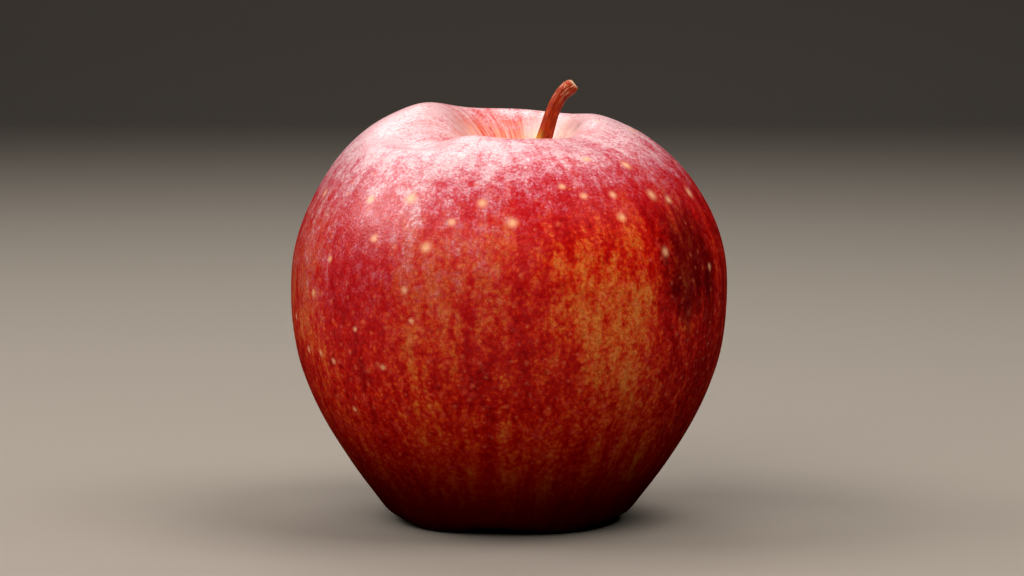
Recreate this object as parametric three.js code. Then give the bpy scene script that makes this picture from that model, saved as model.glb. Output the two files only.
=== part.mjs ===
// A ripe dessert apple, round-conic, standing on the five lobes around its calyx basin.
// Millimetres, +Z up. The origin is on the surface that the fruit stands on, under the middle of its girth.
// The fruit is one solid. Its stem stands in a socket at the bottom of the stem cavity, and the five dried
// sepals with the withered stamens between them sit on the floor of the calyx basin underneath.

import * as THREE from 'three';
import { mergeVertices } from 'three/addons/utils/BufferGeometryUtils.js';

const TURN = Math.PI * 2;
const CLEARANCE = 0.3; // gap between a piece and the one that holds it

// ---- Fruit ----------------------------------------------------------------------------------------

const GIRTH_RADIUS = 37.4; // half the widest diameter
const CREST_HEIGHT = 69.35; // mean height of the shoulder's crest
const STEM_RADIUS = 1.45; // half the stem's thickness where it leaves the socket
const SOCKET_RADIUS = STEM_RADIUS + CLEARANCE;
const SOCKET_FLOOR = 53.6; // height of the bottom of the stem's socket
const CAVITY_FLOOR = 56.2; // height of the socket's mouth
const BASIN_ROOF = 8.6; // height of the calyx basin above the standing surface

// Half of the outline as [radius, height], from the socket's mouth over the shoulder to the calyx basin.
const HALF_OUTLINE = [
  [SOCKET_RADIUS, CAVITY_FLOOR],
  [3.6, 58.0],
  [6.4, 61.6],
  [9.2, 65.8],
  [12.0, 68.5],
  [15.2, CREST_HEIGHT],
  [19.4, 68.1],
  [24.6, 65.2],
  [30.0, 60.2],
  [34.6, 53.0],
  [36.9, 46.2],
  [GIRTH_RADIUS, 39.0],
  [36.8, 31.4],
  [34.9, 24.4],
  [31.6, 17.2],
  [27.4, 10.4],
  [23.2, 4.7],
  [20.0, 0.9],
  [16.4, -0.7],
  [12.6, 0.1],
  [8.6, 3.2],
  [5.6, 6.6],
  [3.0, 8.4],
  [0, BASIN_ROOF],
].map(([radius, height]) => new THREE.Vector2(radius, height));

const AROUND = 80; // faces round the girth
const FACES_PER_SPAN = 2; // faces between two points of the half outline

const RIBS = 5; // a low rib over each of the five seed chambers
const RIB_DIRECTION = THREE.MathUtils.degToRad(155); // where the first rib points, from +X
const CROWN_RIB = 0.2; // how far the ribs lift the crest, each way
const FLANK_RIB = 0.3; // how far they push the flank out, each way
const BASE_ARCH = 1.7; // height of the arch between two lobes of the base
const CROWN_LEAN = [-1.0, 1.05]; // how much higher the crest is towards +X and towards +Y
const CROWN_OVAL = 0.75; // how much higher it is across X than across Y
const CREST_DIPS = [ // where the crest sags: [direction in degrees from +X, how much lower, how narrow]
  [-146, 4.2, 11],
  [-90, 0.8, 3],
  [-42, 1.3, 8],
];
const CAVITY_SHIFT = 3.4; // how far the bottom of the cavity lies to +X

const smooth = THREE.MathUtils.smoothstep;

// Turns a point of the plain lathed fruit into one of the ribbed, slightly lopsided real fruit.
function growNaturally(point) {
  const direction = Math.atan2(point.y, point.x);
  const radius = Math.hypot(point.x, point.y);
  const height = point.z;
  const rib = Math.cos(RIBS * (direction - RIB_DIRECTION));
  const crown = smooth(height, 48, 68) * smooth(radius, 3, 14);
  const flank = smooth(radius, 14, 32);
  const base = smooth(radius, 5, 12) * (1 - smooth(radius, 16.5, 22)) * (1 - smooth(height, 2, 8));
  const inCavity = smooth(height, 40, CAVITY_FLOOR) * (1 - smooth(radius, SOCKET_RADIUS, 15));

  const oval = Math.cos(2 * direction);
  const lean = CROWN_LEAN[0] * Math.cos(direction) + CROWN_LEAN[1] * Math.sin(direction);
  const crest = crown * (1 - smooth(radius, 18, 27));
  const sag = CREST_DIPS.reduce((sum, [towards, depth, narrowness]) => {
    const facing = Math.cos(direction - THREE.MathUtils.degToRad(towards));
    return sum + depth * Math.max(facing, 0) ** narrowness;
  }, 0);
  const wider = radius + FLANK_RIB * rib * flank;
  point.x = wider * Math.cos(direction) + CAVITY_SHIFT * inCavity;
  point.y = wider * Math.sin(direction);
  point.z = height
    + (CROWN_RIB * rib + lean + CROWN_OVAL * oval) * crown
    - sag * crest
    + BASE_ARCH * base * (1 - rib) / 2;
  point.z = Math.max(point.z, 0); // its own weight flattens the lobes that it stands on
}

function makeFruit() {
  const spans = HALF_OUTLINE.length - 1;
  const outline = new THREE.SplineCurve(HALF_OUTLINE).getPoints(spans * FACES_PER_SPAN);
  const profile = [
    new THREE.Vector2(0, SOCKET_FLOOR),
    new THREE.Vector2(SOCKET_RADIUS, SOCKET_FLOOR),
    ...outline,
  ];
  profile.at(-1).x = 0;
  // A lathe's faces point outwards when its profile rises, and it turns about Y.
  const geometry = new THREE.LatheGeometry(profile.reverse(), AROUND);
  geometry.rotateX(Math.PI / 2);
  const places = geometry.attributes.position;
  const point = new THREE.Vector3();
  for (let i = 0; i < places.count; i++) {
    point.fromBufferAttribute(places, i);
    growNaturally(point);
    places.setXYZ(i, point.x, point.y, point.z);
  }
  return geometry;
}

// ---- Stem -----------------------------------------------------------------------------------------

const STEM_LINE = new THREE.CatmullRomCurve3([
  [CAVITY_SHIFT, 0, SOCKET_FLOOR + CLEARANCE],
  [CAVITY_SHIFT, 0, CAVITY_FLOOR],
  [4.7, 0, 61.2],
  [6.2, 0, 66.0],
  [7.5, 0, 70.0],
  [9.2, 0, 73.1],
  [11.4, 0, 74.9],
].map((place) => new THREE.Vector3(...place)), false, 'centripetal');

const STEM_WAIST = 1.08; // half its thickness where it is thinnest
const STEM_KNOB = 0.16; // how much fuller it is at the end
const STEM_STEPS = 22; // rings along the stem
const STEM_SIDES = 14;

// Half thickness of the stem at a share of its length: stout at the foot, with a knob where it left the tree.
function stemRadius(share) {
  const foot = 1 - smooth(share, 0.2, 0.8);
  const knob = smooth(share, 0.78, 0.93);
  const roundedEnd = Math.sqrt(1 - 0.5 * smooth(share, 0.95, 1) ** 2);
  return (STEM_WAIST + (STEM_RADIUS - STEM_WAIST) * foot + STEM_KNOB * knob) * roundedEnd;
}

// Bends a straight piece, which stands on the origin and is as tall as the line is long, along a line in XZ.
function bendAlong(geometry, line) {
  const places = geometry.attributes.position;
  const length = line.getLength();
  const across = new THREE.Vector3(0, 1, 0);
  const point = new THREE.Vector3();
  for (let i = 0; i < places.count; i++) {
    point.fromBufferAttribute(places, i);
    const share = THREE.MathUtils.clamp(point.z / length, 0, 1);
    const side = new THREE.Vector3().crossVectors(across, line.getTangentAt(share));
    const bent = line.getPointAt(share).addScaledVector(side, point.x).addScaledVector(across, point.y);
    places.setXYZ(i, bent.x, bent.y, bent.z);
  }
  return geometry;
}

function makeStem() {
  const length = STEM_LINE.getLength();
  const profile = [new THREE.Vector2(0, 0)];
  for (let i = 0; i <= STEM_STEPS; i++) {
    const share = i / STEM_STEPS;
    profile.push(new THREE.Vector2(stemRadius(share), share * length));
  }
  profile.push(new THREE.Vector2(0, length));
  const geometry = new THREE.LatheGeometry(profile, STEM_SIDES);
  geometry.rotateX(Math.PI / 2);
  return bendAlong(geometry, STEM_LINE);
}

// ---- Calyx ----------------------------------------------------------------------------------------

const SEPAL_THICKNESS = 0.4;
const SEPAL_GAP = 0.35; // between two sepals, side by side
const SEPAL_STEPS = 10;
// The middle of a sepal as [distance from the fruit's axis, height], from its root to its tip.
const SEPAL_LINE = new THREE.SplineCurve([
  [3.3, 7.5],
  [2.9, 6.6],
  [2.3, 5.8],
  [2.2, 5.1],
  [3.0, 4.7],
].map(([radius, height]) => new THREE.Vector2(radius, height)));

// Half the width of a sepal at a share of its length: as wide as the ring of five allows, then pointed.
function sepalHalfWidth(share) {
  const room = SEPAL_LINE.getPointAt(share).x * Math.tan(TURN / RIBS / 2) - SEPAL_GAP / 2;
  return Math.min(room, 1.75) * Math.sqrt(Math.max(1 - share ** 2.2, 0.02));
}

function makeSepal() {
  const left = [];
  const right = [];
  for (let i = 0; i <= SEPAL_STEPS; i++) {
    const share = i / SEPAL_STEPS;
    left.push(new THREE.Vector2(share, sepalHalfWidth(share)));
    right.unshift(new THREE.Vector2(share, -sepalHalfWidth(share)));
  }
  const outline = new THREE.Shape([...left, ...right]);
  const geometry = new THREE.ExtrudeGeometry(outline, { depth: 1, bevelEnabled: false });
  const places = geometry.attributes.position;
  for (let i = 0; i < places.count; i++) {
    const share = places.getX(i);
    const middle = SEPAL_LINE.getPointAt(share);
    const heading = SEPAL_LINE.getTangentAt(share);
    const lift = (places.getZ(i) - 0.5) * SEPAL_THICKNESS;
    places.setXYZ(i, middle.x - heading.y * lift, places.getY(i), middle.y + heading.x * lift);
  }
  return geometry;
}

const TUFT_RADIUS = 1.25;
const TUFT_LENGTH = 2.6;

function makeStamenTuft() {
  const top = BASIN_ROOF - CLEARANCE;
  const profile = [
    [0, top - TUFT_LENGTH],
    [0.75, top - TUFT_LENGTH],
    [TUFT_RADIUS, top - 1],
    [TUFT_RADIUS, top],
    [0, top],
  ].map(([radius, height]) => new THREE.Vector2(radius, height));
  return new THREE.LatheGeometry(profile, 12).rotateX(Math.PI / 2);
}

// ---- Assembly -------------------------------------------------------------------------------------

const SKIN = new THREE.MeshStandardMaterial({ color: 0xa8241a, roughness: 0.35, metalness: 0 });
const BARK = new THREE.MeshStandardMaterial({ color: 0x7a3a1c, roughness: 0.8, metalness: 0 });
const DRY_LEAF = new THREE.MeshStandardMaterial({ color: 0x5b4632, roughness: 0.9, metalness: 0 });
const DRY_THREAD = new THREE.MeshStandardMaterial({ color: 0x2e2119, roughness: 0.95, metalness: 0 });

function piece(name, geometry, material) {
  const bare = geometry.clone();
  bare.deleteAttribute('normal');
  bare.deleteAttribute('uv');
  const mesh = new THREE.Mesh(mergeVertices(bare, 1e-4), material);
  mesh.name = name;
  return mesh;
}

const apple = new THREE.Group();
const fruit = piece('fruit', makeFruit(), SKIN);
apple.add(fruit);
apple.add(piece('stem', makeStem(), BARK));
for (let i = 0; i < RIBS; i++) {
  const sepal = piece(`sepal_${i + 1}`, makeSepal(), DRY_LEAF);
  sepal.rotation.z = RIB_DIRECTION + i * TURN / RIBS;
  apple.add(sepal);
}
apple.add(piece('stamen_tuft', makeStamenTuft(), DRY_THREAD));

// The ribs push the girth off centre by a fraction of a millimetre, so the whole apple is set back.
const middle = new THREE.Box3().setFromObject(fruit).getCenter(new THREE.Vector3());
apple.position.set(-middle.x, -middle.y, 0);

export default apple;
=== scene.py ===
import math

import bpy
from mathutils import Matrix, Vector
from mathutils.bvhtree import BVHTree


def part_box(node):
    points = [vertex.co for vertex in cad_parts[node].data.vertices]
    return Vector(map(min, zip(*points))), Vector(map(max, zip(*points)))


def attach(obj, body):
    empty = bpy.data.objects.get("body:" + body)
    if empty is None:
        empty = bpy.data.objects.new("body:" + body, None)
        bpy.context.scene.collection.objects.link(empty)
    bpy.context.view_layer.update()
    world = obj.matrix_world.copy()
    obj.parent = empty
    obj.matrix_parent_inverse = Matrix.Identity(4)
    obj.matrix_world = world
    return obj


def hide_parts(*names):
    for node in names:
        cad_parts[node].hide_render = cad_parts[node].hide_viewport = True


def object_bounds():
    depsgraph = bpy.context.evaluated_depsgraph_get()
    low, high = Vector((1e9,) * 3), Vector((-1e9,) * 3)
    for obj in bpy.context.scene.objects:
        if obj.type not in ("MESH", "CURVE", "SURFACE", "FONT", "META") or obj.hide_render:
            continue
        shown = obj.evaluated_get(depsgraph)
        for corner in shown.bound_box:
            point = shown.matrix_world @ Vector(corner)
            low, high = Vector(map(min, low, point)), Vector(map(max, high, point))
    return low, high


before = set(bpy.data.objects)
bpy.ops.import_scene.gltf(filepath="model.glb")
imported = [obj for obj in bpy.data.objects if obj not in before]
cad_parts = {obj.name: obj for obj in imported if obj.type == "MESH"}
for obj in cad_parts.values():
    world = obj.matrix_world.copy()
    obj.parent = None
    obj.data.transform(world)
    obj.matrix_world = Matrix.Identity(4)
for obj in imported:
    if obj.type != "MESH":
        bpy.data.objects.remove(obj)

cad_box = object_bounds()
scene = bpy.context.scene
scene.view_settings.view_transform = "Standard"
scene.view_settings.gamma = 0.8
scene.view_settings.use_curve_mapping = True
scene.view_settings.curve_mapping.black_level = (0.003, 0.003, 0.003)
scene.view_settings.curve_mapping.update()

MM = 0.001

# ---- Camera ---------------------------------------------------------------------------------------
# A long lens stands a little above the table and looks at the side that the stem leans across,
# so the apple fills most of the view's height and its shape is hardly foreshortened.
CAMERA_LENS = 135
CAMERA_SENSOR = 36
CAMERA_DISTANCE = 659 * MM
CAMERA_ELEVATION = math.radians(6)
AIM_SHARE = 0.527  # of the apple's height

lowest, highest = (Vector(corner) for corner in cad_box)
aim = Vector((0.5 * MM, 0, lowest.z + AIM_SHARE * (highest.z - lowest.z)))
camera_data = bpy.data.cameras.new("camera")
camera_data.lens = CAMERA_LENS
camera_data.sensor_width = CAMERA_SENSOR
camera = bpy.data.objects.new("camera", camera_data)
scene.collection.objects.link(camera)
towards = Vector((0, -math.cos(CAMERA_ELEVATION), math.sin(CAMERA_ELEVATION)))
camera.location = aim + CAMERA_DISTANCE * towards
camera.rotation_euler = (-towards).to_track_quat("-Z", "Y").to_euler()
scene.camera = camera

# ---- Stage ----------------------------------------------------------------------------------------
# A plain pale sheet lies under the apple and sweeps up behind it without an edge. Five soft square
# lights hang round it: one in front, one at each side and two behind, in a room with a faint glow.
FLOOR_HALF_WIDTH = 1.6
FLOOR_FRONT = -1.2
FLOOR_BACK = 1.1
SWEEP_RADIUS = 0.5
BACKDROP_TOP = 1.6
SWEEP_STEPS = 16
FLOOR_COLOUR = (0.275, 0.245, 0.215, 1)
LIGHT_DISTANCE = 0.8
WARM_WHITE = (1.0, 0.98, 0.95)
COOL_WHITE = (1.0, 1.0, 0.98)
ROOM_COLOUR = (0.9, 0.95, 1.0, 1)
ROOM_GLOW = 0.01

sweep = [(FLOOR_FRONT, 0)]
for step in range(SWEEP_STEPS + 1):
    turn = step / SWEEP_STEPS * math.pi / 2
    sweep.append((FLOOR_BACK + SWEEP_RADIUS * math.sin(turn), SWEEP_RADIUS * (1 - math.cos(turn))))
sweep.append((FLOOR_BACK + SWEEP_RADIUS, BACKDROP_TOP))
corners = [(side * FLOOR_HALF_WIDTH, y, z) for y, z in sweep for side in (-1, 1)]
quads = [(2 * i, 2 * i + 1, 2 * i + 3, 2 * i + 2) for i in range(len(sweep) - 1)]
floor_mesh = bpy.data.meshes.new("floor")
floor_mesh.from_pydata(corners, [], quads)
floor_mesh.shade_smooth()
floor = bpy.data.objects.new("floor", floor_mesh)
floor.visible_glossy = False  # keeps a grey haze off the edges of the waxy skin
scene.collection.objects.link(floor)
paper = bpy.data.materials.new("floor_paper")
paper.use_nodes = True
paper_shader = paper.node_tree.nodes["Principled BSDF"]
paper_shader.inputs["Base Color"].default_value = FLOOR_COLOUR
paper_shader.inputs["Roughness"].default_value = 0.9
floor_mesh.materials.append(paper)


def hang_light(name, direction, elevation, size, watts, tint, seen_in_gloss=True):
    """A square soft light that faces the apple, degrees to the right of the front and above the floor."""
    turn, rise = math.radians(direction), math.radians(elevation)
    outwards = Vector((math.sin(turn) * math.cos(rise), -math.cos(turn) * math.cos(rise), math.sin(rise)))
    data = bpy.data.lights.new(name, "AREA")
    data.shape = "SQUARE"
    data.size = size
    data.energy = watts
    data.color = tint
    light = bpy.data.objects.new(name, data)
    light.location = aim + outwards * LIGHT_DISTANCE
    light.rotation_euler = (-outwards).to_track_quat("-Z", "Y").to_euler()
    light.visible_glossy = seen_in_gloss
    scene.collection.objects.link(light)


hang_light("light_front", -24, 38, 0.6, 5.0, WARM_WHITE, seen_in_gloss=False)
hang_light("light_left", -90, 45, 0.5, 4.5, WARM_WHITE)
hang_light("light_right", 72, 58, 0.5, 5.1, WARM_WHITE, seen_in_gloss=False)
hang_light("light_behind", -158, 50, 0.5, 1.8, COOL_WHITE)
hang_light("light_behind_right", 158, 58, 0.5, 2.2, COOL_WHITE, seen_in_gloss=False)
room = bpy.data.worlds.new("room")
scene.world = room
room.use_nodes = True
room.node_tree.nodes["Background"].inputs["Color"].default_value = ROOM_COLOUR
room.node_tree.nodes["Background"].inputs["Strength"].default_value = ROOM_GLOW

# ---- Fruit ----------------------------------------------------------------------------------------
# One grown piece of flesh under a thin waxy skin, turned about its core: five low ribs, one over each
# seed chamber, a deep cavity round the stem, and a basin round the calyx with five lobes to stand on.
GIRTH_RADIUS = 37.4
CREST_HEIGHT = 69.35
SOCKET_RADIUS = 1.56
SOCKET_FLOOR = 53.6
CAVITY_FLOOR = 56.2
BASIN_ROOF = 8.6
HALF_OUTLINE = [  # [radius, height], from the stem's socket over the shoulder to the calyx basin
    (0, SOCKET_FLOOR),
    (1.2, SOCKET_FLOOR + 0.3),
    (SOCKET_RADIUS, CAVITY_FLOOR - 1.0),
    (2.0, CAVITY_FLOOR),
    (3.6, 58.0),
    (6.4, 61.6),
    (9.2, 65.8),
    (12.0, 68.5),
    (15.2, CREST_HEIGHT),
    (19.4, 68.1),
    (24.6, 65.2),
    (30.0, 60.2),
    (34.6, 53.0),
    (36.9, 46.2),
    (GIRTH_RADIUS, 39.0),
    (36.8, 31.4),
    (34.9, 24.4),
    (31.6, 17.2),
    (27.4, 10.4),
    (23.2, 4.7),
    (20.0, 0.9),
    (16.4, -0.7),
    (12.6, 0.1),
    (8.6, 3.2),
    (5.6, 6.6),
    (3.0, 8.4),
    (0, BASIN_ROOF),
]
RIB_DIRECTION = math.radians(155)  # where the first rib points, from +X
CREST_DIPS = [  # where the crest sags: [direction in degrees from +X, how much lower, how narrow]
    (-146, 4.2, 11.0),
    (-90, 0.8, 3.0),
    (-42, 1.3, 8.0),
]
FACES_ROUND = 400
FACES_ALONG = 230
WELD_DISTANCE = 0.0002 * MM  # points nearer than this become one, so that poles and seams close


class Field:
    """A value on its way between nodes. Arithmetic on it adds the nodes that work the result out."""

    def __init__(self, tree, socket):
        self.tree = tree
        self.socket = socket

    def math(self, operation, *others):
        return add_node(self.tree, "ShaderNodeMath", [self, *others], operation=operation).out()

    def __add__(self, other):
        return self.math("ADD", other)

    def __sub__(self, other):
        return self.math("SUBTRACT", other)

    def __rsub__(self, other):
        return add_node(self.tree, "ShaderNodeMath", [other, self], operation="SUBTRACT").out()

    def __mul__(self, other):
        return self.math("MULTIPLY", other)

    def __truediv__(self, other):
        return self.math("DIVIDE", other)

    __radd__ = __add__
    __rmul__ = __mul__

    def cos(self):
        return self.math("COSINE")

    def sin(self):
        return self.math("SINE")

    def least(self, limit):
        return self.math("MAXIMUM", limit)

    def smooth(self, low, high):
        """Rises softly from 0 to 1 between low and high, or falls where low is the greater."""
        return add_node(self.tree, "ShaderNodeMapRange", {"Value": self, "From Min": low, "From Max": high},
                        interpolation_type="SMOOTHSTEP").out()

    def parts(self):
        node = add_node(self.tree, "ShaderNodeSeparateXYZ", [self])
        return node.out(0), node.out(1), node.out(2)

    def into(self, socket):
        self.tree.links.new(self.socket, socket)


class Made:
    """A node that has just been added, with its outputs as fields."""

    def __init__(self, tree, node):
        self.tree = tree
        self.node = node

    def out(self, which=0):
        return Field(self.tree, self.node.outputs[which])


def add_node(tree, kind, inputs=(), **settings):
    node = tree.nodes.new(kind)
    for name, value in settings.items():
        setattr(node, name, value)
    named = inputs.items() if isinstance(inputs, dict) else enumerate(inputs)
    for which, value in named:
        if isinstance(value, Field):
            value.into(node.inputs[which])
        else:
            node.inputs[which].default_value = value
    return Made(tree, node)


def vector(tree, x, y, z):
    return add_node(tree, "ShaderNodeCombineXYZ", [x, y, z]).out()


def vector_math(tree, operation, *values):
    node = add_node(tree, "ShaderNodeVectorMath", list(values), operation=operation)
    return node.out("Value" if operation in ("LENGTH", "DISTANCE", "DOT_PRODUCT") else 0)


def scaled(tree, value, share):
    return add_node(tree, "ShaderNodeVectorMath", {0: value, "Scale": share}, operation="SCALE").out()


SOCKETS = {
    float: "NodeSocketFloat",
    int: "NodeSocketInt",
    bpy.types.Material: "NodeSocketMaterial",
    bpy.types.Object: "NodeSocketObject",
}


def shape_tree(name, sizes):
    """A Geometry Nodes tree with a Geometry input and one named input for each size."""
    tree = bpy.data.node_groups.new(name, "GeometryNodeTree")
    tree.interface.new_socket("Geometry", in_out="INPUT", socket_type="NodeSocketGeometry")
    tree.interface.new_socket("Geometry", in_out="OUTPUT", socket_type="NodeSocketGeometry")
    for size, value in sizes.items():
        tree.interface.new_socket(size, in_out="INPUT", socket_type=SOCKETS[type(value)])
    start = add_node(tree, "NodeGroupInput")
    return tree, {socket.name: Field(tree, socket) for socket in start.node.outputs if socket.name}


def round_grid(tree, size):
    """A flat sheet of faces to wrap round an axis: its mesh, the share of the way along, the direction."""
    grid = add_node(tree, "GeometryNodeMeshGrid", {
        "Size X": 1.0,
        "Size Y": 1.0,
        "Vertices X": size["Faces along"] + 1,
        "Vertices Y": size["Faces round"] + 1,
    }).out("Mesh")
    along, share_round, _ = add_node(tree, "GeometryNodeInputPosition").out().parts()
    return grid, along + 0.5, (share_round + 0.5) * math.tau


def sample_curve(tree, curve, share):
    """The place and the tangent at a share of the way along a curve."""
    node = add_node(tree, "GeometryNodeSampleCurve", {"Curves": curve, "Factor": share},
                    mode="FACTOR", use_all_curves=True)
    return node.out("Position"), node.out("Tangent")


def store(tree, geometry, name, value, kind="FLOAT_VECTOR"):
    """Keeps a value at each point of the geometry, under a name that a material can read."""
    return add_node(tree, "GeometryNodeStoreNamedAttribute", {
        "Geometry": geometry,
        "Name": name,
        "Value": value,
    }, data_type=kind, domain="POINT").out()


def set_place(tree, geometry, place, weld):
    """Moves each point of a sheet to its place, and welds the edges that meet there."""
    shaped = add_node(tree, "GeometryNodeSetPosition", {"Geometry": geometry, "Position": place}).out()
    return add_node(tree, "GeometryNodeMergeByDistance", {"Geometry": shaped, "Distance": weld}).out()


def end_tree(tree, geometry, material):
    """Smooths the geometry, makes it real, coats it, and hands it to the tree's output."""
    soft = add_node(tree, "GeometryNodeSetShadeSmooth", {"Geometry": geometry}).out()
    real = add_node(tree, "GeometryNodeRealizeInstances", {"Geometry": soft}).out()
    coated = add_node(tree, "GeometryNodeSetMaterial", {"Geometry": real, "Material": material}).out()
    add_node(tree, "NodeGroupOutput", [coated])


def grow(name, host, tree, sizes):
    """Runs a tree on its host, and keeps the result as a plain mesh object of its own."""
    modifier = host.modifiers.new(name, "NODES")
    modifier.node_group = tree
    for socket in tree.interface.items_tree:
        if socket.in_out == "INPUT" and socket.name in sizes:
            modifier[socket.identifier] = sizes[socket.name]
    graph = bpy.context.evaluated_depsgraph_get()
    mesh = bpy.data.meshes.new_from_object(host.evaluated_get(graph), preserve_all_data_layers=True,
                                           depsgraph=graph)
    bpy.data.objects.remove(host)
    mesh.name = name
    piece = bpy.data.objects.new(name, mesh)
    scene.collection.objects.link(piece)
    return piece


def bend_curve(name, points):
    """A smooth curve through points, each handle a sixth of the way between its two neighbours."""
    data = bpy.data.curves.new(name, "CURVE")
    data.dimensions = "3D"
    data.resolution_u = 24
    spline = data.splines.new("BEZIER")
    spline.bezier_points.add(len(points) - 1)
    for i, knot in enumerate(spline.bezier_points):
        before, after = points[max(i - 1, 0)], points[min(i + 1, len(points) - 1)]
        reach = (after - before) / 6
        knot.co = points[i]
        knot.handle_left = points[i] - reach
        knot.handle_right = points[i] + reach
    curve = bpy.data.objects.new(name, data)
    scene.collection.objects.link(curve)
    return curve


skin = bpy.data.materials.new("waxy_apple_skin")
fruit_sizes = {
    "Faces round": FACES_ROUND,
    "Faces along": FACES_ALONG,
    "Ribs": 5,
    "Rib direction": RIB_DIRECTION,
    "Crown rib": 0.2 * MM,  # how far the ribs lift the crest, each way
    "Flank rib": 0.3 * MM,  # how far they push the flank out, each way
    "Base arch": 1.7 * MM,  # height of the arch between two lobes of the base
    "Crown lean x": -1.0 * MM,  # how much higher the crest is towards +X and towards +Y
    "Crown lean y": 1.05 * MM,
    "Crown oval": 0.75 * MM,  # how much higher it is across X than across Y
    "Cavity shift": 3.4 * MM,  # how far the bottom of the cavity lies to +X
    "Swell": 0.28 * MM,  # soft hollows and swellings of the flank
    "Skin": skin,
}
fruit_tree, size = shape_tree("fruit_shape", fruit_sizes)
grid, along, direction = round_grid(fruit_tree, size)
outline, _ = sample_curve(fruit_tree, size["Geometry"], along)
radius, _, height = outline.parts()
rib = (size["Ribs"] * (direction - size["Rib direction"])).cos()
crown = height.smooth(48 * MM, 68 * MM) * radius.smooth(3 * MM, 14 * MM)
flank = radius.smooth(14 * MM, 32 * MM)
base = radius.smooth(5 * MM, 12 * MM) * radius.smooth(22 * MM, 16.5 * MM) * height.smooth(8 * MM, 2 * MM)
in_cavity = height.smooth(40 * MM, CAVITY_FLOOR * MM) * radius.smooth(15 * MM, 1.75 * MM)
lean = size["Crown lean x"] * direction.cos() + size["Crown lean y"] * direction.sin()
oval = size["Crown oval"] * (direction * 2).cos()
swelling = add_node(fruit_tree, "ShaderNodeTexNoise", {
    "Vector": vector(fruit_tree, direction.cos(), direction.sin(), height * (1 / (GIRTH_RADIUS * MM))),
    "Scale": 1.7,
    "Detail": 2.0,
}).out() - 0.5
wider = radius + (size["Flank rib"] * rib + size["Swell"] * 2 * swelling) * flank
rise = (size["Crown rib"] * rib + lean + oval) * crown + size["Base arch"] * base * (1 - rib) / 2
crest = crown * radius.smooth(27 * MM, 18 * MM)
for towards_dip, depth, narrowness in CREST_DIPS:
    facing_dip = (direction - math.radians(towards_dip)).cos().least(0.0)
    rise = rise - facing_dip.math("POWER", narrowness) * (depth * MM) * crest
place = vector(
    fruit_tree,
    wider * direction.cos() + size["Cavity shift"] * in_cavity,
    wider * direction.sin(),
    (height + rise).least(0.0),
)
meridian = vector(fruit_tree, direction.cos(), direction.sin(), along)
sheet = store(fruit_tree, grid, "meridian", meridian)
end_tree(fruit_tree, set_place(fruit_tree, sheet, place, WELD_DISTANCE), size["Skin"])

outline_curve = bend_curve("fruit_outline", [Vector((r, 0, h)) * MM for r, h in HALF_OUTLINE])
bare_fruit = grow("bare_fruit", outline_curve, fruit_tree, fruit_sizes)
FIT_SHARE = 0.9998


def fit_to_box(piece, node):
    """Brings a piece to the size and place of the solid that it stands for, all but a hair's breadth."""
    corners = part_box(node)
    places = [vertex.co for vertex in piece.data.vertices]
    for axis in range(3):
        low = min(place[axis] for place in places)
        high = max(place[axis] for place in places)
        middle = (corners[0][axis] + corners[1][axis]) / 2
        reach = (corners[1][axis] - corners[0][axis]) * FIT_SHARE
        for place in places:
            place[axis] = middle + ((place[axis] - low) / (high - low) - 0.5) * reach


fit_to_box(bare_fruit, "fruit")

# Lenticels are the pale pores of the skin: large and scattered on the shoulder, small and closer
# together towards the calyx. Each point of the skin learns where the nearest one lies and its size.
CHOSEN_LENTICELS = [  # [degrees to the right of the front, height, half the width]
    (-75, 36, 0.65),
    (-72, 57, 0.8),
    (-66, 31, 0.6),
    (-60, 41, 0.65),
    (-58, 31, 0.6),
    (-53, 47, 0.6),
    (-52, 30, 0.55),
    (-48, 22, 0.5),
    (-44, 57, 0.8),
    (-42, 36, 0.45),
    (-38, 51, 0.7),
    (-34, 30, 0.5),
    (-30, 57.5, 1.0),
    (-27, 43, 0.6),
    (-25, 38, 0.5),
    (-22, 50, 0.9),
    (-16, 54, 0.7),
    (-8, 57, 0.8),
    (1, 54, 0.9),
    (17, 59.5, 0.6),
    (23, 58, 0.65),
    (31, 63.5, 0.8),
    (33, 54.5, 0.8),
    (33, 58, 0.7),
    (45, 48.5, 0.8),
    (47, 62.3, 1.0),
    (49, 57.5, 1.0),
    (56, 56.5, 0.75),
    (66, 45, 0.6),
    (73, 57, 1.0),
]
DENSEST = 1e6  # points per square metre before those too close to another are left out
LENTICEL_REACH = 2.5  # half widths from its middle that a lenticel may colour
bare_skin = BVHTree.FromPolygons([vertex.co for vertex in bare_fruit.data.vertices],
                                 [face.vertices for face in bare_fruit.data.polygons])


def on_skin(degrees, height):
    """The place on the flank that many degrees to the right of the front, at that height in mm."""
    turn = math.radians(degrees - 90)
    outwards = Vector((math.cos(turn), math.sin(turn), 0))
    start = outwards * 0.1 + Vector((0, 0, height * MM))
    return bare_skin.ray_cast(start, -outwards)[0]


chosen_mesh = bpy.data.meshes.new("chosen_lenticels")
chosen_mesh.from_pydata([on_skin(degrees, height) for degrees, height, _ in CHOSEN_LENTICELS], [], [])
half_widths = chosen_mesh.attributes.new("half_width", "FLOAT", "POINT")
for i, (_, _, half_width) in enumerate(CHOSEN_LENTICELS):
    half_widths.data[i].value = half_width * MM
chosen = bpy.data.objects.new("chosen_lenticels", chosen_mesh)
scene.collection.objects.link(chosen)

lenticel_sizes = {
    "Chosen": chosen,
    "Large apart": 6.5 * MM,
    "Large half width": 0.8 * MM,
    "Small apart": 2.3 * MM,
    "Small half width": 0.45 * MM,
    "Seed": 11,
}
lenticel_tree, size = shape_tree("lenticels", lenticel_sizes)
here = add_node(lenticel_tree, "GeometryNodeInputPosition").out()
x, y, z = here.parts()


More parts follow.
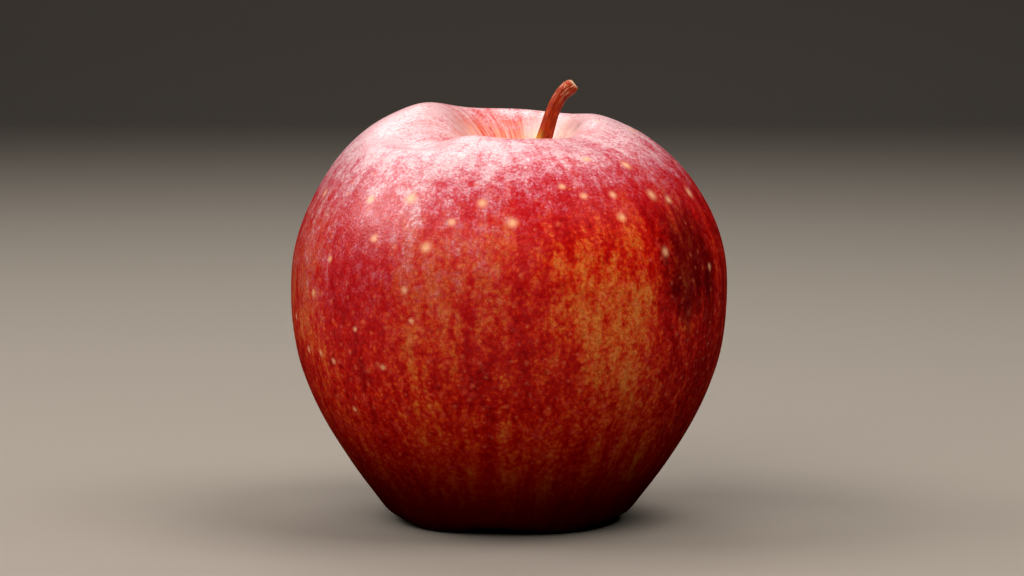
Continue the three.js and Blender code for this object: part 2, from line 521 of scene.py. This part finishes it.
def random_share(tree, low, high, seed):
    """A number from low to high, drawn afresh for each point."""
    limits = {"Min": low, "Max": high, "Seed": seed}
    draw = add_node(tree, "FunctionNodeRandomValue", limits, data_type="FLOAT")
    return Field(tree, next(out for out in draw.node.outputs if out.enabled))


def scatter(apart, half_width, share, seed):
    """Points on the skin, no closer than apart, each with its own half width."""
    points = add_node(lenticel_tree, "GeometryNodeDistributePointsOnFaces", {
        "Mesh": size["Geometry"],
        "Distance Min": apart,
        "Density Max": DENSEST,
        "Density Factor": share,
        "Seed": seed,
    }, distribute_method="POISSON").out("Points")
    width = random_share(lenticel_tree, 0.45, 1.0, seed) * half_width
    return store(lenticel_tree, points, "half_width", width, "FLOAT")


def remember_nearest(geometry, points, name):
    """Stores the place and the half width of the nearest of the points on the geometry.

    Out of a lenticel's reach the place stored is a metre above the skin, so that no face has the places
    of two lenticels at its corners.
    """
    nearest = add_node(lenticel_tree, "GeometryNodeSampleNearest",
                       {"Geometry": points, "Sample Position": here}).out()
    own_width = add_node(lenticel_tree, "GeometryNodeInputNamedAttribute", {"Name": "half_width"},
                         data_type="FLOAT").out("Attribute")
    found = [
        add_node(lenticel_tree, "GeometryNodeSampleIndex",
                 {"Geometry": points, "Value": value, "Index": nearest},
                 data_type=kind, domain="POINT").out()
        for value, kind in ((here, "FLOAT_VECTOR"), (own_width, "FLOAT"))
    ]
    distance = vector_math(lenticel_tree, "DISTANCE", here, found[0])
    normal = add_node(lenticel_tree, "GeometryNodeInputNormal").out()
    above = vector_math(lenticel_tree, "ADD", here, normal)
    is_far = distance.math("GREATER_THAN", found[1] * LENTICEL_REACH)
    spot = add_node(lenticel_tree, "GeometryNodeSwitch",
                    {"Switch": is_far, "False": found[0], "True": above}, input_type="VECTOR").out()
    geometry = store(lenticel_tree, geometry, name, spot)
    return store(lenticel_tree, geometry, name + "_width", found[1], "FLOAT")


outer = z.smooth(72 * MM, 64 * MM)
behind = y.smooth(-8 * MM, 4 * MM) * outer * z.smooth(34 * MM, 52 * MM)
large = scatter(size["Large apart"], size["Large half width"], behind, size["Seed"])
placed = add_node(lenticel_tree, "GeometryNodeObjectInfo", {"Object": size["Chosen"]}).out("Geometry")
placed = add_node(lenticel_tree, "GeometryNodeMeshToPoints", {"Mesh": placed}).out()
joined = add_node(lenticel_tree, "GeometryNodeJoinGeometry")
for points in (large, placed):
    points.into(joined.node.inputs[0])
low = z.smooth(66 * MM, 30 * MM)
small = scatter(size["Small apart"], size["Small half width"], low, size["Seed"] + 1)
marked = remember_nearest(size["Geometry"], joined.out(), "large_lenticel")
marked = remember_nearest(marked, small, "small_lenticel")
real = add_node(lenticel_tree, "GeometryNodeRealizeInstances", {"Geometry": marked}).out()
add_node(lenticel_tree, "NodeGroupOutput", [real])
fruit = grow("fruit_visible", bare_fruit, lenticel_tree, lenticel_sizes)
bpy.data.objects.remove(chosen)


def colour(red, green, blue):
    """A screen colour, 0 to 255, as the linear one that a shader takes."""
    return tuple((c / 255 / 12.92 if c <= 10 else ((c / 255 + 0.055) / 1.055) ** 2.4)
                 for c in (red, green, blue)) + (1,)


def attribute(tree, name, out="Vector"):
    return add_node(tree, "ShaderNodeAttribute", attribute_name=name).out(out)


def noise(tree, place, grain, detail=2.0, roughness=0.5, out=0):
    return add_node(tree, "ShaderNodeTexNoise", {
        "Vector": place,
        "Scale": 1 / (grain * MM),
        "Detail": detail,
        "Roughness": roughness,
    }).out(out)


def ramp(tree, value, stops):
    node = add_node(tree, "ShaderNodeValToRGB", [value])
    elements = node.node.color_ramp.elements
    while len(elements) < len(stops):
        elements.new(1)
    for element, (position, shade) in zip(elements, stops):
        element.position = position
        element.color = shade
    return node.out()


def paint(tree, share, under, over):
    return add_node(tree, "ShaderNodeMix", {0: share, 6: under, 7: over}, data_type="RGBA").out(2)


# The skin has a golden ground. Over it lies a red blush, streaked from stem to calyx, finely mottled and
# netted, darkened towards the base by painted shade, then rust round the stem, a bloom of white wax with a
# painted highlight on the crown, and the pale lenticels on top.
BLUSH_PATCHES = [  # [degrees to the right of the front, height, half width, half height, how much redder]
    (-77, 46, 8, 16, -0.36),
    (-72, 24, 7, 14, 0.06),
    (-62, 46, 4, 16, -0.22),
    (-53, 42, 5, 20, 0.06),
    (-39, 38, 8, 22, 0.10),
    (-45, 20, 14, 14, 0.06),
    (-27, 31, 8, 18, -0.20),
    (-50, 51, 8, 8, -0.14),
    (-23, 47, 9, 9, -0.20),
    (-11, 44, 10, 14, -0.18),
    (-8, 31, 4, 8, 0.15),
    (0, 53, 3, 10, -0.18),
    (5, 42, 4, 28, 0.02),
    (14, 45, 4, 12, -0.18),
    (22, 36, 8, 15, -0.10),
    (30, 35, 10, 14, -0.31),
    (32, 24, 8, 14, -0.06),
    (22, 58, 14, 10, 0.10),
    (48, 55, 11, 14, -0.08),
    (52, 32, 11, 16, 0.06),
    (68, 40, 12, 28, 0.15),
    (80, 30, 14, 26, 0.12),
    (115, 42, 11, 26, -0.22),
    (140, 36, 12, 28, 0.16),
    (165, 45, 10, 24, -0.18),
    (-165, 34, 12, 26, 0.13),
    (-140, 44, 9, 24, -0.24),
    (-112, 40, 11, 28, 0.15),
]
PALE_FLECKS = colour(226, 112, 92)
DARK_FLECKS = colour(118, 6, 12)
MAROON = colour(78, 3, 8)
# the colour of the painted shade that darkens the base of the fruit
PAINTED_BASE_SHADE = colour(40, 2, 3)
BASIN_GOLD = colour(158, 92, 30)
CAVITY_CREAM_AND_HIGHLIGHT = colour(246, 226, 212)
GREENISH_GLOW = colour(212, 196, 96)
FLUSH = colour(178, 18, 36)
VEIN_RED = colour(142, 14, 26)
FAN_RUST = colour(214, 84, 64)
LARGE_LENTICELS = colour(236, 190, 148)
SMALL_LENTICELS = colour(224, 130, 92)


def open_material(material):
    """A material's node tree, its shader, and the place of each point of the piece."""
    material.use_nodes = True
    tree = material.node_tree
    return tree, tree.nodes["Principled BSDF"], add_node(tree, "ShaderNodeTexCoord").out("Object")


nodes, skin_shader, place = open_material(skin)
x, y, height = place.parts()
cosine, sine, along = attribute(nodes, "meridian").parts()


def along_the_streaks(squeeze):
    """Coordinates in which a pattern is drawn out from stem to calyx, and narrows towards both."""
    return vector(nodes, cosine * (GIRTH_RADIUS * MM), sine * (GIRTH_RADIUS * MM), height * squeeze)


wander = noise(nodes, along_the_streaks(0.4), 4.0, 2.0, out="Color")
wandered = vector_math(nodes, "MULTIPLY_ADD", wander, (4 * MM, 4 * MM, 16 * MM), place)
wandered = vector_math(nodes, "SUBTRACT", wandered, (2 * MM, 2 * MM, 8 * MM))


def patch(degrees, level, half_width, half_height):
    """A soft spot on the flank with frayed edges: 1 in its middle, 0 outside."""
    spot = add_node(nodes, "ShaderNodeMapping", {
        "Vector": wandered,
        "Location": on_skin(degrees, level),
        "Rotation": (0, 0, math.radians(degrees - 90)),
        "Scale": (25 * MM, half_width * 1.3 * MM, half_height * 1.3 * MM),
    }, vector_type="TEXTURE").out()
    nearness = add_node(nodes, "ShaderNodeTexGradient", [spot], gradient_type="SPHERICAL").out("Fac")
    return nearness.smooth(0, 0.75)


broad_streaks = noise(nodes, along_the_streaks(0.13), 6.0, 2.0)
fine_streaks = noise(nodes, along_the_streaks(0.5), 1.9, 3.0, 0.6)
mottle = noise(nodes, place, 0.65, 2.0, 0.7)
shaken = vector_math(nodes, "MULTIPLY_ADD", noise(nodes, place, 1.0, out="Color"), (0.6 * MM,) * 3, place)
cells = add_node(nodes, "ShaderNodeTexVoronoi", {"Vector": shaken, "Scale": 1 / (0.95 * MM)}).out()
contrast = height.smooth(2 * MM, 26 * MM) * 0.5 + 0.5
redness = (broad_streaks - 0.5) * 1.3 + (fine_streaks - 0.5) * 1.35
redness = redness + (mottle - 0.5) * 0.95 + (cells - 0.48) * 0.42
redness = redness * contrast + 0.59
for degrees, level, half_width, half_height, redder in BLUSH_PATCHES:
    redness = redness + redder * patch(degrees, level, half_width, half_height)
shade = ramp(nodes, redness, [
    (0.05, colour(216, 132, 62)),
    (0.25, colour(213, 106, 42)),
    (0.40, colour(208, 80, 28)),
    (0.52, colour(202, 54, 19)),
    (0.66, colour(190, 28, 12)),
    (0.82, colour(176, 16, 10)),
    (1.00, colour(152, 9, 8)),
])
specks = noise(nodes, place, 1.8, 4.0, 0.8)
shade = paint(nodes, specks.smooth(0.50, 0.74) * 0.34, shade, PALE_FLECKS)
shade = paint(nodes, specks.smooth(0.48, 0.26) * 0.42, shade, DARK_FLECKS)
maroon = patch(56, 46, 9, 12) * (mottle + fine_streaks)
shade = paint(nodes, maroon.smooth(0.0, 1.0) * 0.75, shade, MAROON)

# Towards the base the skin is darkened almost to black by painted shade, standing in for the shade under
# the apple, and in the basin round the calyx the golden ground comes through it.
shade = paint(nodes, height.smooth(26 * MM, 1 * MM) * 0.88, shade, PAINTED_BASE_SHADE)
from_axis = vector_math(nodes, "LENGTH", vector(nodes, x, y, 0.0))
basin = (from_axis + (fine_streaks - 0.5) * (12 * MM)).smooth(17 * MM, 7 * MM)
basin = basin * height.smooth(11 * MM, 6 * MM)
shade = paint(nodes, basin * 0.85, shade, BASIN_GOLD)

# The cavity is straw-coloured, with streaks of rust at the back and a greenish glow at the stem's foot. Its
# right wall is paler, cream, partly its own colour and partly a painted highlight where the light falls on
# it.
cavity = (along - cosine.smooth(-0.2, 0.9) * 0.02).smooth(0.20, 0.10)
rust = noise(nodes, along_the_streaks(0.3), 2.6, 4.0, 0.7)
rust = rust + (sine * 0.94 - cosine * 0.34).smooth(0.7, 1.0) * 0.14 - 0.06
straw = ramp(nodes, rust, [
    (0.36, colour(240, 216, 200)),
    (0.50, colour(238, 186, 160)),
    (0.68, colour(208, 84, 38)),
])
# the right wall of the cavity: pale cream with a painted highlight
straw = paint(nodes, cosine.smooth(-0.1, 0.6) * 0.8, straw, CAVITY_CREAM_AND_HIGHLIGHT)
by_the_stem = vector_math(nodes, "DISTANCE", place, (4.4 * MM, 4.6 * MM, 61.6 * MM))
straw = paint(nodes, by_the_stem.smooth(7.0 * MM, 1.5 * MM) * 0.8, straw, GREENISH_GLOW)
shade = paint(nodes, cavity, shade, straw)

# The bloom is a breath of white wax, broken into grains, with a painted highlight in it: the whitish sheen
# that light lays on the crown is painted in together with the wax. It is thick on the crest and along the
# right of the rim, thinner down the lit left shoulder, and no more than a glimmer in the pores below. The
# skin's net of veins shows through it.
bloom_and_sheen_grain = noise(nodes, place, 0.5, 2.0, 0.65)
bloom_and_sheen_clumps = noise(nodes, place, 2.2, 3.0, 0.6)
# to_the_left leans the painted highlight towards the lit left side of the fruit
to_the_left = (sine * -0.55 - cosine * 0.83).smooth(0.1, 1.0)
# thickness holds the wax and the painted highlight together, heaviest where light strikes the crest, the
# left shoulder and the right rim
thickness = height.smooth(50 * MM, 72 * MM) * 0.93 + height.smooth(66 * MM, 71 * MM) * 0.25
thickness = thickness + to_the_left * height.smooth(22 * MM, 58 * MM) * 0.41
thickness = thickness + cosine.smooth(-0.3, 0.6) * height.smooth(57 * MM, 69 * MM) * 0.25
thickness = (thickness + height.smooth(8 * MM, 34 * MM) * 0.1) * (1 - cavity * 0.45)
rubbed = (broad_streaks - 0.5) * 0.8 + (fine_streaks - 0.5) * 0.8
speckle = (bloom_and_sheen_grain - 0.5) * 1.35 + (bloom_and_sheen_clumps - 0.5) * 1.2 - rubbed
bloom_and_sheen = (thickness + speckle * (thickness * 1.2).smooth(0.0, 0.5)).smooth(0.0, 1.35) * 0.87
wax_and_sheen = ramp(nodes, bloom_and_sheen, [
    (0.10, colour(200, 102, 110)),
    (0.42, colour(200, 136, 152)),
    (0.84, colour(214, 188, 192)),
])
# under the bloom and its painted highlight the red turns crimson
shade = paint(nodes, thickness.smooth(0.05, 0.5) * (1 - cavity) * 0.6, shade, FLUSH)
shade = paint(nodes, bloom_and_sheen, shade, wax_and_sheen)
veins = (noise(nodes, place, 0.85, 2.0, 0.6) - 0.5).math("ABSOLUTE").smooth(0.075, 0.0)
veins = veins * redness.smooth(0.95, 0.70) * (1 - cavity) * height.smooth(4 * MM, 24 * MM)
shade = paint(nodes, veins * 0.36, shade, VEIN_RED)
fan = noise(nodes, along_the_streaks(0.3), 1.1, 3.0, 0.65).smooth(0.46, 0.66)
fan = fan * along.smooth(0.25, 0.17) * along.smooth(0.06, 0.10) * (sine * 0.2 - cosine).smooth(-0.2, 0.5)
shade = paint(nodes, fan * 0.36, shade, FAN_RUST)


def lenticels(name, wobble):
    """How much of a lenticel covers each point: 1 on it, 0 off it, with a soft uneven edge."""
    distance = vector_math(nodes, "DISTANCE", place, attribute(nodes, name)) + wobble
    half_width = attribute(nodes, name + "_width", "Fac")
    return distance.smooth(half_width * 1.8, 0.0).math("POWER", 1.4)


wobble = (noise(nodes, place, 0.5) - 0.5) * (0.6 * MM)
large_ones = lenticels("large_lenticel", wobble) * (1 - cavity) * 0.72
small_ones = lenticels("small_lenticel", wobble) * height.smooth(4 * MM, 30 * MM) * 0.4
shade = paint(nodes, large_ones, shade, LARGE_LENTICELS)
shade = paint(nodes, small_ones, shade, SMALL_LENTICELS)
shade.into(skin_shader.inputs["Base Color"])
gloss = height.smooth(14 * MM, 56 * MM) * 0.4 + 0.1
gloss.into(skin_shader.inputs["Specular IOR Level"])
(gloss * 0.3).into(skin_shader.inputs["Coat Weight"])
skin_shader.inputs["Roughness"].default_value = 0.38
skin_shader.inputs["Coat Roughness"].default_value = 0.2


def emboss(tree, shader, height, strength, distance, *coats):
    """Raises a shader's surface, and its coat's where one is named, by a pattern from 0 to 1."""
    relief = {"Strength": strength, "Distance": distance, "Height": height}
    relief = add_node(tree, "ShaderNodeBump", relief).out()
    for socket in ("Normal", *coats):
        relief.into(shader.inputs[socket])


pores = noise(nodes, place, 0.45, 2.0, 0.6)
emboss(nodes, skin_shader, pores, 0.5, 0.12 * MM, "Coat Normal")
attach(fruit, "root")
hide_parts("fruit")

# ---- Stem -----------------------------------------------------------------------------------------
# The woody stalk that the apple hung by. It grows out of the cavity's floor, stout and still greenish
# at its foot, thins and leans over, and ends in a knob with the pale scar where it came off the spur.
STEM_LINE = [(3.4, 53.9), (3.4, 56.2), (4.7, 61.2), (6.2, 66.0), (7.5, 70.0), (9.2, 73.1), (11.4, 74.9)]
STEM_OUTLINE = [  # [radius, way along the stem], from the foot to the middle of the scar
    (0, 0),
    (1.0, 0),
    (1.46, 0.7),
    (1.52, 2.0),
    (1.5, 4.0),
    (1.48, 7.0),
    (1.4, 10.5),
    (1.28, 14.0),
    (1.2, 17.0),
    (1.2, 19.4),
    (1.28, 21.0),
    (1.32, 21.9),
    (1.2, 22.6),
    (0.92, 23.05),
    (0.5, 23.2),
    (0, 23.1),
]
WHOLE_GRAIN = 1 / MM  # the grain of a noise whose coordinates are shares and not lengths

bark = bpy.data.materials.new("stem_bark")
stem_outline = bend_curve("stem_outline", [Vector((r, 0, way)) * MM for r, way in STEM_OUTLINE])
stem_sizes = {
    "Outline": stem_outline,
    "Faces round": 64,
    "Faces along": 260,
    "Ridge": 0.055,
    "Scar tilt": 0.22,
    "Bark": bark,
}
stem_tree, size = shape_tree("stem_shape", stem_sizes)
grid, along, direction = round_grid(stem_tree, size)
stem_profile = add_node(stem_tree, "GeometryNodeObjectInfo", {"Object": size["Outline"]}).out("Geometry")
outline, _ = sample_curve(stem_tree, stem_profile, along)
radius, _, way = outline.parts()
cosine, sine = direction.cos(), direction.sin()
knots = noise(stem_tree, vector(stem_tree, cosine, sine, way * 160), WHOLE_GRAIN / 1.1, 2.0)
fibres = noise(stem_tree, vector(stem_tree, cosine * 3.2, sine * 3.2, way * 150), WHOLE_GRAIN, 3.0)
ridge = 1 + size["Ridge"] * (direction * 4 + way * 90).cos() + (knots - 0.5) * 0.22 + (fibres - 0.5) * 0.14
near_tip = way.smooth(20 * MM, 22.5 * MM)
tilt = size["Scar tilt"] * near_tip * radius * (direction - 0.6).cos()
line = add_node(stem_tree, "GeometryNodeSampleCurve", {"Curves": size["Geometry"], "Length": way + tilt},
                mode="LENGTH", use_all_curves=True)
across = (0.0, 1.0, 0.0)
side = vector_math(stem_tree, "CROSS_PRODUCT", across, line.out("Tangent"))
centre = line.out("Position")
turned = vector_math(stem_tree, "ADD", scaled(stem_tree, side, radius * ridge * cosine),
                     scaled(stem_tree, across, radius * ridge * sine))
place = vector_math(stem_tree, "ADD", centre, turned)
sheet = store(stem_tree, grid, "fibre", vector(stem_tree, cosine, sine, way))
sheet = store(stem_tree, sheet, "scar", along.smooth(0.945, 0.975), "FLOAT")
end_tree(stem_tree, set_place(stem_tree, sheet, place, WELD_DISTANCE), size["Bark"])
stem_line = bend_curve("stem_line", [Vector((x, 0, z)) * MM for x, z in STEM_LINE])
stem = grow("stem_wood", stem_line, stem_tree, stem_sizes)
bpy.data.objects.remove(stem_outline)
fit_to_box(stem, "stem")

nodes, bark_shader, place = open_material(bark)
cosine, sine, way = attribute(nodes, "fibre").parts()
fibre_place = vector(nodes, cosine * (1.3 * MM), sine * (1.3 * MM), way * 0.2)
grain = noise(nodes, fibre_place, 0.35, 3.0, 0.6)
blotches = noise(nodes, place, 1.3, 3.0, 0.6)
brown = ramp(nodes, grain * 0.6 + blotches * 0.4, [
    (0.32, colour(118, 36, 6)),
    (0.50, colour(154, 50, 8)),
    (0.68, colour(182, 78, 24)),
])
foot = way.smooth(14.5 * MM, 8.5 * MM) * (0.2 - cosine).smooth(0.0, 1.0)
brown = paint(nodes, foot * 0.9, brown, colour(202, 192, 58))
scar = attribute(nodes, "scar", "Fac") * 0.85
flecks = way.smooth(17 * MM, 22.5 * MM) * grain.smooth(0.48, 0.62) * 0.55
brown = paint(nodes, flecks.math("MAXIMUM", scar), brown, colour(228, 200, 168))
brown.into(bark_shader.inputs["Base Color"])
bark_shader.inputs["Roughness"].default_value = 0.55
emboss(nodes, bark_shader, grain, 0.6, 0.12 * MM)
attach(stem, "root")
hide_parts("stem")

# ---- Sepals ---------------------------------------------------------------------------------------
# The five leaves that wrapped the flower bud, now dry, brown and downy. They stand in a ring round the
# calyx on the roof of the basin underneath, lean together, and curl outwards at their tips.
SEPAL_LINE = [(3.6, 7.7), (3.1, 6.9), (2.5, 5.9), (2.25, 5.1), (2.7, 4.4), (3.6, 4.2), (4.3, 4.7)]
SEPAL_THICKNESS = 0.22 * MM
TIP_WELD = 0.001 * MM
dry_leaf = bpy.data.materials.new("dry_sepal")
sepal_sizes = {
    "Half width": 1.75 * MM,
    "Cupping": 0.5 * MM,
    "Wrinkle": 0.5 * MM,
    "Seed": 0.0,
    "Leaf": dry_leaf,
}
sepal_tree, size = shape_tree("sepal_shape", sepal_sizes)
grid = add_node(sepal_tree, "GeometryNodeMeshGrid",
                {"Size X": 1.0, "Size Y": 2.0, "Vertices X": 37, "Vertices Y": 21})
along, across_share, _ = add_node(sepal_tree, "GeometryNodeInputPosition").out().parts()
along = along + 0.5
spine_place, tangent = sample_curve(sepal_tree, size["Geometry"], along)
facing = vector_math(sepal_tree, "CROSS_PRODUCT", across, tangent)
half = size["Half width"] * (1 - along.math("POWER", 2.4)).math("POWER", 0.6) * (1 - along * 0.25)
folds = vector(sepal_tree, along * 3.0, across_share * 1.4, size["Seed"])
crinkle = noise(sepal_tree, folds, WHOLE_GRAIN, 2.0) - 0.5
edge_wave = (along * 19 + size["Seed"] * 5).sin() * across_share * across_share * 0.35
lift = size["Cupping"] * across_share * across_share + size["Wrinkle"] * (crinkle * 2 + edge_wave) * along
place = vector_math(sepal_tree, "ADD", spine_place, scaled(sepal_tree, facing, lift))
place = vector_math(sepal_tree, "ADD", place, scaled(sepal_tree, across, across_share * half))
sheet = store(sepal_tree, grid.out("Mesh"), "leaf", vector(sepal_tree, along, across_share, size["Seed"]))
end_tree(sepal_tree, set_place(sepal_tree, sheet, place, TIP_WELD), size["Leaf"])


def thicken(piece, thickness):
    """Gives a sheet its thickness, rounds it, and keeps the result as its mesh."""
    solid = piece.modifiers.new("thickness", "SOLIDIFY")
    solid.thickness = thickness
    solid.offset = 0
    rounder = piece.modifiers.new("rounding", "SUBSURF")
    rounder.levels = rounder.render_levels = 1
    graph = bpy.context.evaluated_depsgraph_get()
    rough = piece.data
    piece.data = bpy.data.meshes.new_from_object(piece.evaluated_get(graph), preserve_all_data_layers=True,
                                                 depsgraph=graph)
    piece.modifiers.clear()
    bpy.data.meshes.remove(rough)
    piece.data.name = piece.name
    piece.data.shade_smooth()


calyx_low, calyx_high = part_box("stamen_tuft")
calyx_middle = (calyx_low + calyx_high) / 2
for i in range(5):
    spine = bend_curve("sepal_line", [Vector((r, 0, h)) * MM for r, h in SEPAL_LINE])
    sepal = grow(f"sepal_leaf_{i + 1}", spine, sepal_tree, {**sepal_sizes, "Seed": 1.7 * i + 0.4})
    thicken(sepal, SEPAL_THICKNESS)
    turn = RIB_DIRECTION + i * math.tau / 5
    for vertex in sepal.data.vertices:
        x, y, z = vertex.co
        vertex.co = (
            calyx_middle.x + x * math.cos(turn) - y * math.sin(turn),
            calyx_middle.y + x * math.sin(turn) + y * math.cos(turn),
            z,
        )
    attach(sepal, "root")
    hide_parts(f"sepal_{i + 1}")

nodes, leaf_shader, place = open_material(dry_leaf)
along, _, _ = attribute(nodes, "leaf").parts()
down = noise(nodes, place, 0.22, 3.0, 0.65)
patches = noise(nodes, place, 1.1, 2.0)
leaf_colour = ramp(nodes, down * 0.5 + patches * 0.5, [
    (0.36, colour(62, 44, 28)),
    (0.50, colour(112, 86, 56)),
    (0.64, colour(170, 146, 108)),
])
tip = along.smooth(0.55, 0.95)
leaf_colour = paint(nodes, tip * 0.7, leaf_colour, colour(44, 30, 20))
leaf_colour.into(leaf_shader.inputs["Base Color"])
leaf_shader.inputs["Roughness"].default_value = 0.9
leaf_shader.inputs["Sheen Weight"].default_value = 0.4
emboss(nodes, leaf_shader, down, 0.7, 0.15 * MM)

# ---- Stamens --------------------------------------------------------------------------------------
# A tuft of withered threads between the sepals: the stamens, each with the dry husk of its anther at
# the end, hanging from the roof of the basin where the flower stood.
thread = bpy.data.materials.new("dry_stamen")
stamen_sizes = {
    "Tuft radius": 1.25 * MM,
    "Apart": 0.28 * MM,
    "Length": 3.0 * MM,
    "Half thickness": 0.085 * MM,
    "Husk": 0.2 * MM,
    "Seed": 5,
    "Thread": thread,
}
stamen_tree, size = shape_tree("stamen_tuft", stamen_sizes)
disc = add_node(stamen_tree, "GeometryNodeMeshCircle",
                {"Vertices": 24, "Radius": size["Tuft radius"]}, fill_type="NGON").out()
roots = add_node(stamen_tree, "GeometryNodeDistributePointsOnFaces", {
    "Mesh": disc,
    "Distance Min": size["Apart"],
    "Density Max": 20 * DENSEST,
    "Seed": size["Seed"],
}, distribute_method="POISSON").out("Points")
thread_end = vector(stamen_tree, size["Length"] * 0.42, 0.0, size["Length"] * -0.85)
bent = add_node(stamen_tree, "GeometryNodeCurvePrimitiveBezierSegment", {
    "Resolution": 7,
    "Start": (0.0, 0.0, 0.0),
    "Start Handle": vector(stamen_tree, 0.0, 0.0, size["Length"] * -0.4),
    "End Handle": vector(stamen_tree, size["Length"] * 0.25, 0.0, size["Length"] * -0.7),
    "End": thread_end,
}).out()
section = add_node(stamen_tree, "GeometryNodeCurvePrimitiveCircle",
                   {"Resolution": 6, "Radius": size["Half thickness"]}).out()
filament = add_node(stamen_tree, "GeometryNodeCurveToMesh",
                    {"Curve": bent, "Profile Curve": section, "Fill Caps": True}).out()
husk = add_node(stamen_tree, "GeometryNodeMeshIcoSphere", {"Radius": size["Husk"], "Subdivisions": 2}).out()
husk = add_node(stamen_tree, "GeometryNodeTransform", {
    "Geometry": husk,
    "Translation": thread_end,
    "Scale": (1.0, 0.7, 1.5),
}).out()
stamen = add_node(stamen_tree, "GeometryNodeJoinGeometry")
for part in (filament, husk):
    part.into(stamen.node.inputs[0])
spin = add_node(stamen_tree, "FunctionNodeRandomValue", {
    "Min": (-0.25, -0.25, 0.0),
    "Max": (0.25, 0.25, math.tau),
    "Seed": size["Seed"],
}, data_type="FLOAT_VECTOR").out()
stretch = random_share(stamen_tree, 0.6, 1.0, size["Seed"] + 1)
threads = add_node(stamen_tree, "GeometryNodeInstanceOnPoints", {
    "Points": roots,
    "Instance": stamen.out(),
    "Rotation": spin,
    "Scale": vector(stamen_tree, stretch, stretch, stretch),
}).out()
end_tree(stamen_tree, threads, size["Thread"])
seat = bpy.data.objects.new("stamen_seat", bpy.data.meshes.new("stamen_seat"))
scene.collection.objects.link(seat)
stamens = grow("stamens", seat, stamen_tree, stamen_sizes)
for vertex in stamens.data.vertices:
    vertex.co += Vector((calyx_middle.x, calyx_middle.y, (BASIN_ROOF + 0.1) * MM))

nodes, thread_shader, place = open_material(thread)
thread_colour = ramp(nodes, noise(nodes, place, 0.4, 2.0), [
    (0.38, colour(34, 22, 14)),
    (0.62, colour(92, 62, 38)),
])
thread_colour.into(thread_shader.inputs["Base Color"])
thread_shader.inputs["Roughness"].default_value = 0.85
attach(stamens, "root")
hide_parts("stamen_tuft")
